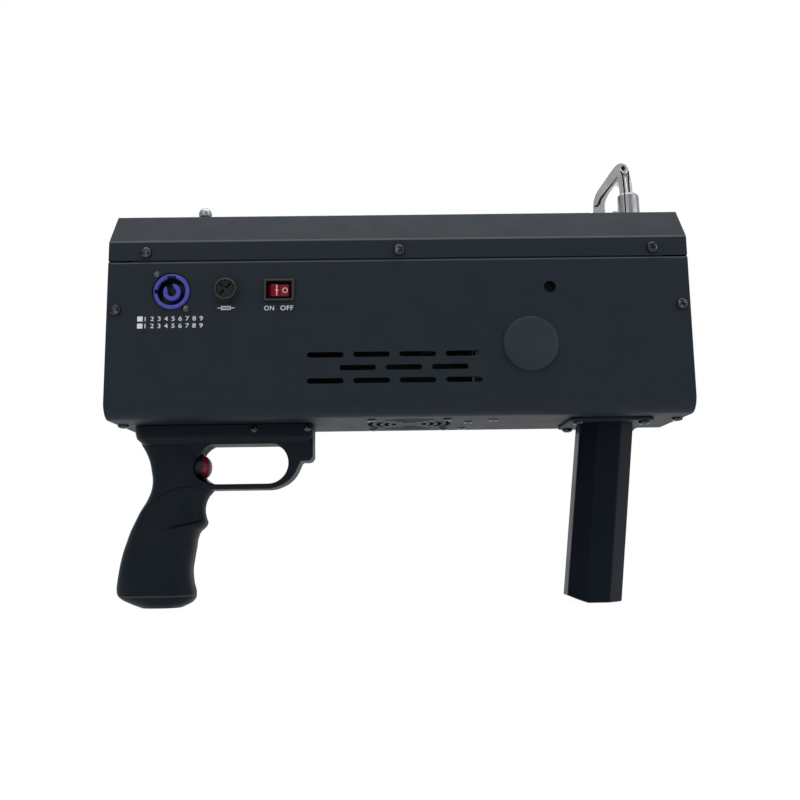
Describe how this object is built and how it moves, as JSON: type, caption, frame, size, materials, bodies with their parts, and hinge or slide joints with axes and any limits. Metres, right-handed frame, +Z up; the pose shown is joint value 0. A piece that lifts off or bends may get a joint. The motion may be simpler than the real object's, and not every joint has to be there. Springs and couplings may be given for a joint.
{
  "type": "cold spark machine",
  "caption": "Hand-held cold spark machine: folded black case with mains inlet, fuse, rocker switch and filler plug, pistol grip with trigger, octagonal front grip and snap hook.",
  "frame": {"origin": "on the ground under the middle of the case, at the height of the two grips' flat feet", "axes": "+X along the case to the nozzle, +Z up, -Y towards the side with the controls"},
  "size_m": [0.38, 0.1029, 0.3083],
  "materials": {
    "black_paint": "satin black powder coat",
    "gloss_black_plastic": "gloss black moulding",
    "matt_black_plastic": "matt black moulding",
    "plug_plastic": "matt dark grey moulding",
    "inlet_blue": "satin blue-violet moulding",
    "rocker_red": "gloss red",
    "trigger_crimson": "gloss crimson",
    "chrome": "polished chrome",
    "black_screw": "black oxide",
    "stainless_steel": "turned",
    "zinc_plate": "zinc plated",
    "heater_insulation": "woven fibre wrap",
    "white_nylon": "moulded",
    "board_green": "solder mask",
    "fuse_glass": "clear"
  },
  "bodies": {
    "case": {"lower_tray": "black_paint", "top_cover": "black_paint", "front_end_plate": "black_paint", "rear_end_plate": "black_paint", "inlet_shell": "inlet_blue", "inlet_core": "inlet_blue", "inlet_screw_1": "black_screw", "inlet_screw_2": "black_screw", "fuse_holder_body": "matt_black_plastic", "glass_fuse": "fuse_glass", "switch_housing": "matt_black_plastic", "feed_hopper": "zinc_plate", "feed_motor": "zinc_plate", "motor_bracket": "zinc_plate", "nozzle_tube": "stainless_steel", "heater_jacket": "heater_insulation", "heater_saddle": "zinc_plate", "fan_frame": "matt_black_plastic", "power_supply": "zinc_plate", "control_board": "board_green", "left_grip_shell": "gloss_black_plastic", "right_grip_shell": "gloss_black_plastic", "trigger_collar": "matt_black_plastic", "front_grip": "gloss_black_plastic", "front_grip_flange": "black_paint", "strap_stud": "chrome", "hook_stud": "chrome", "cover_screw_1": "black_screw", "cover_screw_2": "black_screw", "cover_screw_3": "black_screw", "cover_screw_4": "black_screw", "cover_screw_5": "black_screw", "cover_screw_6": "black_screw", "end_screw_1": "black_screw", "fan_screw_1": "black_screw", "front_grip_screw_1": "black_screw", "end_screw_2": "black_screw", "fan_screw_2": "black_screw", "front_grip_screw_2": "black_screw", "end_screw_3": "black_screw", "fan_screw_3": "black_screw", "front_grip_screw_3": "black_screw", "end_screw_4": "black_screw", "fan_screw_4": "black_screw", "front_grip_screw_4": "black_screw"},
    "trigger": {"trigger_button": "trigger_crimson"},
    "rocker": {"switch_rocker": "rocker_red"},
    "fuse_cap": {"fuse_cap": "matt_black_plastic"},
    "plug": {"filler_plug": "plug_plastic"},
    "rotor": {"fan_rotor": "matt_black_plastic"},
    "auger": {"feed_auger": "stainless_steel", "auger_gear": "white_nylon"},
    "pinion": {"motor_pinion": "stainless_steel"},
    "hook": {"snap_hook": "chrome", "gate_pin": "stainless_steel"},
    "gate": {"hook_gate": "chrome"}
  },
  "joints": [
    {"name": "trigger_press", "type": "slide", "parent": "case", "child": "trigger", "axis": [-1, 0, 0], "range_m": [0, 0.003], "stiffness_N_per_m": 400, "springref_m": -0.004},
    {"name": "switch_rock", "type": "hinge", "parent": "case", "child": "rocker", "pos_m": [-0.0781, -0.046, 0.204], "axis": [0, 0, -1], "range_deg": [0, 20]},
    {"name": "fuse_cap_turn", "type": "hinge", "parent": "case", "child": "fuse_cap", "pos_m": [-0.1124, -0.047, 0.204], "axis": [0, 1, 0], "range_deg": [0, 60]},
    {"name": "filler_plug_pull", "type": "slide", "parent": "case", "child": "plug", "axis": [0, -1, 0], "range_m": [0, 0.012]},
    {"name": "fan_spin", "type": "hinge", "parent": "case", "child": "rotor", "pos_m": [0.006, 0, 0.124], "axis": [0, 0, 1], "continuous": true},
    {"name": "auger_spin", "type": "hinge", "parent": "case", "child": "auger", "pos_m": [0.0635, 0, 0.164], "axis": [1, 0, 0], "continuous": true},
    {"name": "pinion_spin", "type": "hinge", "parent": "case", "child": "pinion", "pos_m": [0.0517, 0, 0.185], "axis": [1, 0, 0], "continuous": true},
    {"name": "hook_swivel", "type": "hinge", "parent": "case", "child": "hook", "pos_m": [0.1655, 0, 0.2616], "axis": [0, 0, 1], "continuous": true},
    {"name": "hook_gate_swing", "type": "hinge", "parent": "hook", "child": "gate", "pos_m": [0.1549, 0, 0.2692], "axis": [0, 1, 0], "range_deg": [0, 50], "stiffness_Nm_per_rad": 0.02, "springref_deg": -22.92}
  ],
  "couplings": [
    {"joint": "pinion_spin", "follows": "auger_spin", "ratio": -2}
  ]
}
